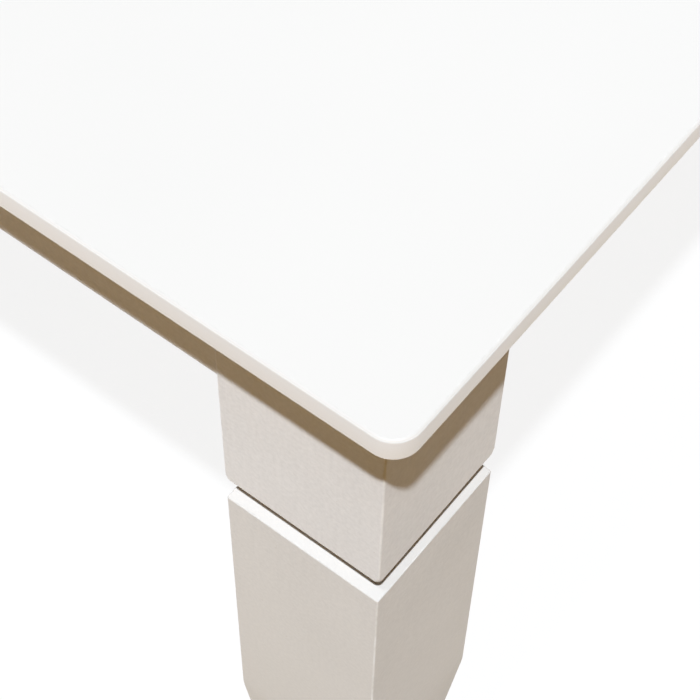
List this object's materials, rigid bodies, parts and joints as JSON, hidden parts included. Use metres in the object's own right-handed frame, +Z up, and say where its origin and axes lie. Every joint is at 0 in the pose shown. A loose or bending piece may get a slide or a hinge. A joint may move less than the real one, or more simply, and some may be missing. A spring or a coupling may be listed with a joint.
{
  "type": "dining table",
  "caption": "White painted dining table: thin overhanging top with rounded corners on thick square legs, each with an open groove below its upper block and a tapered foot.",
  "frame": {"origin": "on the floor, under the middle of the top", "axes": "+X along the length to the right, +Y along the width to the back, +Z up"},
  "size_m": [1.6, 0.9, 0.76],
  "materials": {
    "top_lacquer": "white lacquer, smooth, semi-gloss",
    "leg_paint": "warm white satin paint over wood, faint grain",
    "frame_wood": "bare planed pine",
    "dowel_wood": "bare beech",
    "zinc_steel": "bright zinc plate",
    "glide_plastic": "off-white moulded"
  },
  "bodies": {
    "root": {"table_top": "top_lacquer", "apron_front": "leg_paint", "apron_back": "leg_paint", "apron_left": "leg_paint", "apron_right": "leg_paint", "cross_rail_left": "frame_wood", "cross_rail_right": "frame_wood", "leg_block_front_left": "leg_paint", "leg_block_front_right": "leg_paint", "leg_block_back_left": "leg_paint", "leg_block_back_right": "leg_paint", "leg_neck_front_left": "leg_paint", "leg_neck_front_right": "leg_paint", "leg_neck_back_left": "leg_paint", "leg_neck_back_right": "leg_paint", "leg_post_front_left": "leg_paint", "leg_post_front_right": "leg_paint", "leg_post_back_left": "leg_paint", "leg_post_back_right": "leg_paint", "corner_brace_front_left": "frame_wood", "corner_brace_front_right": "frame_wood", "corner_brace_back_left": "frame_wood", "corner_brace_back_right": "frame_wood", "foot_glide_front_left": "glide_plastic", "foot_glide_front_right": "glide_plastic", "foot_glide_back_left": "glide_plastic", "foot_glide_back_right": "glide_plastic", "leg_tie_rods": "zinc_steel", "leg_tie_nuts": "zinc_steel", "leg_tie_washers": "zinc_steel", "leg_inserts": "zinc_steel", "neck_dowels": "dowel_wood", "apron_dowels": "dowel_wood", "rail_dowels": "dowel_wood", "hanger_bolts": "zinc_steel", "brace_washers": "zinc_steel", "brace_nuts": "zinc_steel", "brace_screws": "zinc_steel", "top_brackets": "zinc_steel", "bracket_screws": "zinc_steel", "glide_nails": "zinc_steel"}
  },
  "joints": []
}
